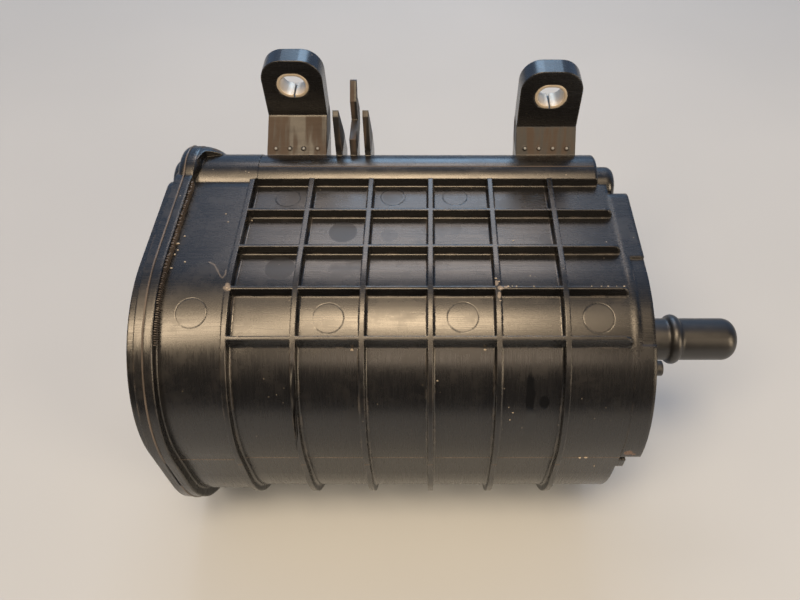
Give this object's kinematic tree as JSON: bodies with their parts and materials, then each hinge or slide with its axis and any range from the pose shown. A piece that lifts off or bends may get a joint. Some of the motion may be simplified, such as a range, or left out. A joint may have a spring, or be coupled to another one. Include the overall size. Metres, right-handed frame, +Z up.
{
  "type": "charcoal canister",
  "caption": "Black moulded charcoal canister with a ribbed rounded body, welded end cap, side chamber, vapour spigot and sleeved mounting ears; it stores fuel vapour.",
  "frame": {"origin": "on the rest plane under the ribbed body: the middle of the ribbed length, below the centre line of the rounded front", "axes": "+X from the welded cap to the vapour spigot, +Y from the rounded front to the mounting ears, +Z up from the rest plane"},
  "size_m": [0.2112, 0.1275, 0.1431],
  "materials": {
    "housing_plastic": "semi-gloss black moulded nylon",
    "cap_plastic": "semi-gloss black moulded nylon",
    "sleeve_steel": "plated rolled steel",
    "charcoal": "packed black granules",
    "felt": "off-white felt",
    "plate_plastic": "natural moulded plastic",
    "spring_steel": "spring steel"
  },
  "bodies": {
    "root": {"housing": "housing_plastic", "end_cap": "cap_plastic", "sleeve_a": "sleeve_steel", "sleeve_b": "sleeve_steel", "bed_main": "charcoal", "bed_side": "charcoal", "felt_main_in": "felt", "felt_main_out": "felt", "felt_side_in": "felt", "felt_side_out": "felt", "press_main": "plate_plastic", "press_side": "plate_plastic", "spring_main_a": "spring_steel", "spring_main_b": "spring_steel", "spring_side": "spring_steel"}
  },
  "joints": []
}
